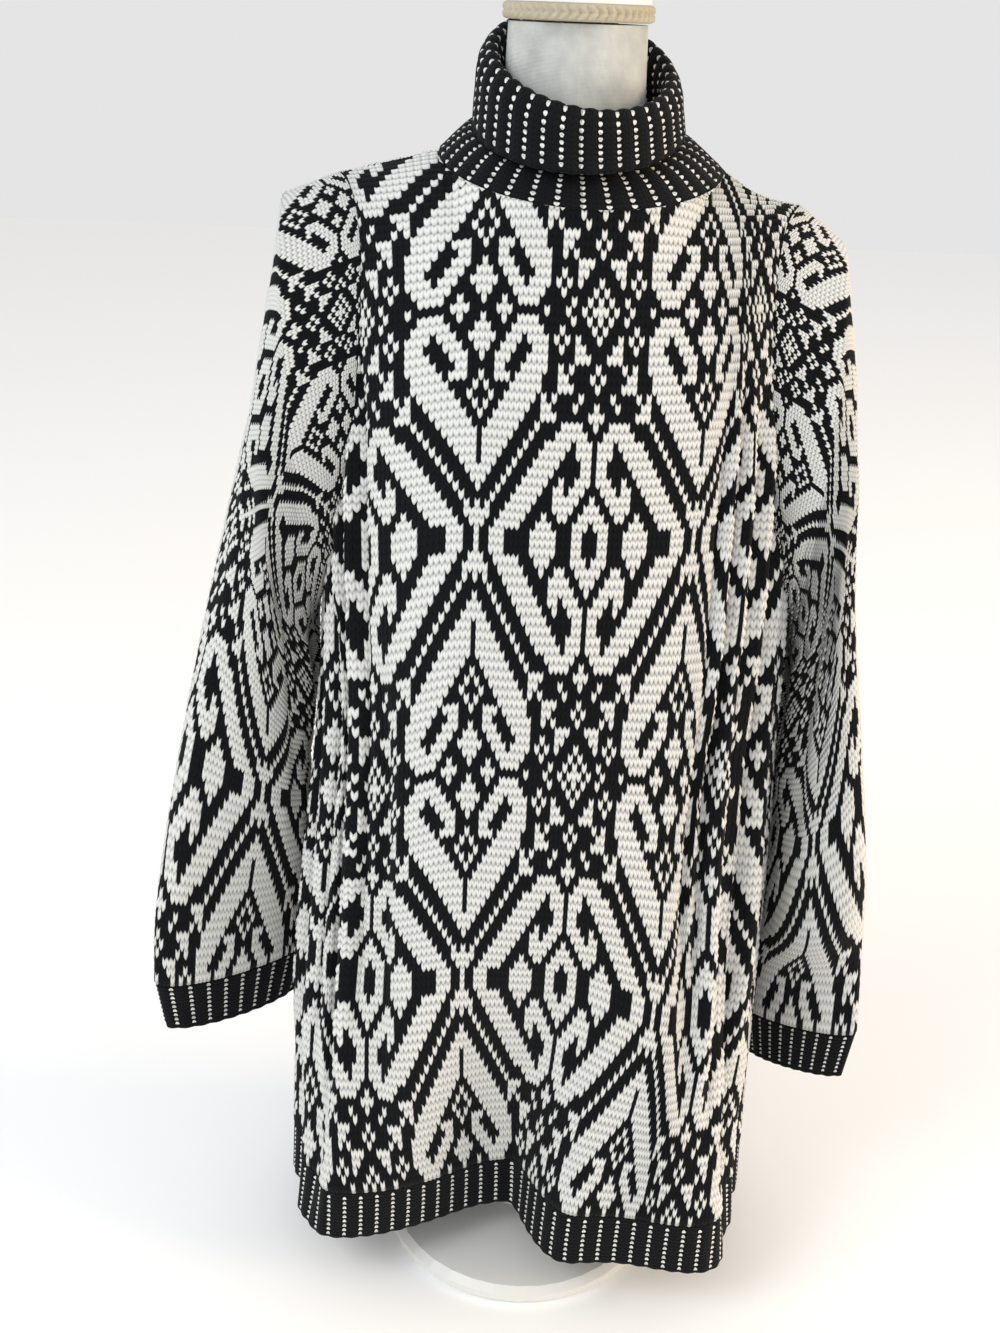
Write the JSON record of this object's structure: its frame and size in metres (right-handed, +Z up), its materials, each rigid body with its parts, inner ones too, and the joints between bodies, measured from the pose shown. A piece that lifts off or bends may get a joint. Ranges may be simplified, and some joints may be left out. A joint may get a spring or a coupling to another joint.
{
  "type": "turtleneck sweater on a dress form",
  "caption": "Oversized long-sleeved knitted turtleneck with a folded ribbed collar, a two-colour jacquard and ribbed cuffs and hem, worn by a limbless dress form on a low round stand.",
  "frame": {"origin": "middle of the underside of the round base, where the stand rests on the floor", "axes": "+Z up; the garment's front faces -Y; +X is the wearer's left, at the right of the picture"},
  "size_m": [0.5695, 0.2641, 1.0135],
  "materials": {
    "jacquard_knit": "black and white yarn, knitted in a two-colour jacquard, matt",
    "black_rib": "black ribbed knit with white purl stitches in the grooves, matt",
    "linen_cover": "cream linen cover, matt",
    "gimp_braid": "beige woven braid, matt",
    "painted_wood": "off-white satin paint",
    "stand_metal": "pale satin paint"
  },
  "bodies": {
    "root": {"front": "jacquard_knit", "back": "jacquard_knit", "sleeve_right": "jacquard_knit", "sleeve_left": "jacquard_knit", "hem_rib_front": "black_rib", "hem_rib_back": "black_rib", "cuff_right": "black_rib", "cuff_left": "black_rib", "collar": "black_rib", "form_torso": "linen_cover", "neck_braid": "gimp_braid", "neck_cap": "painted_wood", "form_foot": "stand_metal", "stand_pole": "stand_metal", "stand_base": "painted_wood"}
  },
  "joints": []
}
